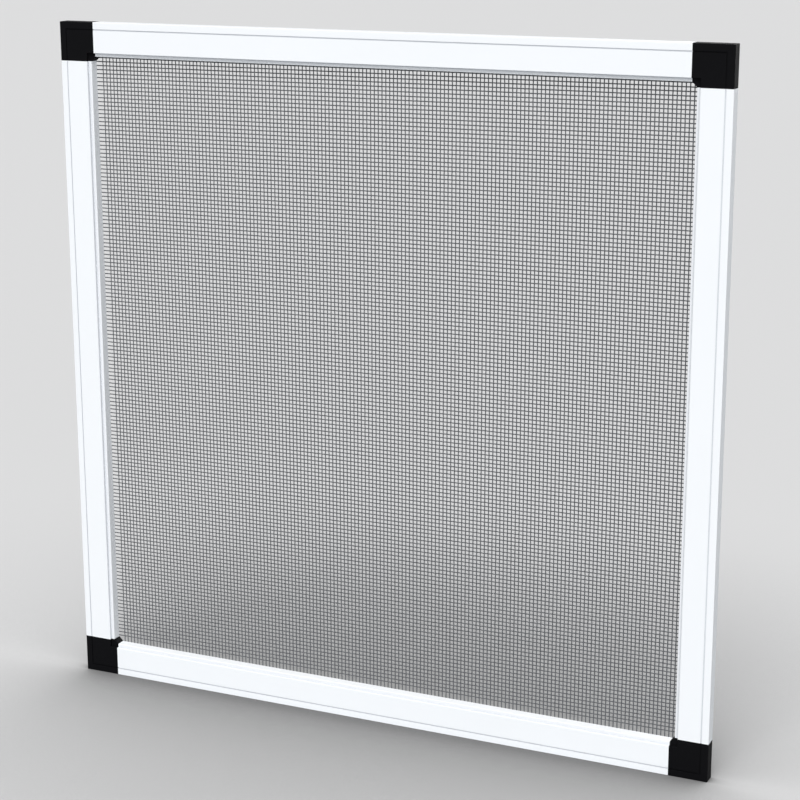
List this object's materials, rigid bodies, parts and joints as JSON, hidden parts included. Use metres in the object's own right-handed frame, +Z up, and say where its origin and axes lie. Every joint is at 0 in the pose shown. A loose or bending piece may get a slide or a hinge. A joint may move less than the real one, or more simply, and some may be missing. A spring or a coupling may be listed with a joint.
{
  "type": "window insect screen frame",
  "caption": "Square insect screen for a window: white hollow aluminium profiles joined by black moulded corners, with a dark woven mesh held by splines at the back.",
  "frame": {"origin": "middle of the lower edge, half way through the frame's depth", "axes": "+Z up the stiles, +X to the right seen from the front, +Y from the front face to the back"},
  "size_m": [0.51, 0.01, 0.51],
  "materials": {
    "white_powder_coat": "satin",
    "black_moulded_plastic": "satin",
    "black_vinyl_cord": "matte",
    "charcoal_screen_yarn": "matte"
  },
  "bodies": {
    "root": {"left_stile": "white_powder_coat", "right_stile": "white_powder_coat", "top_rail": "white_powder_coat", "bottom_rail": "white_powder_coat", "corner_bottom_left": "black_moulded_plastic", "corner_bottom_right": "black_moulded_plastic", "corner_top_right": "black_moulded_plastic", "corner_top_left": "black_moulded_plastic", "spline_left": "black_vinyl_cord", "spline_right": "black_vinyl_cord", "spline_top": "black_vinyl_cord", "spline_bottom": "black_vinyl_cord", "insect_mesh": "charcoal_screen_yarn"}
  },
  "joints": []
}
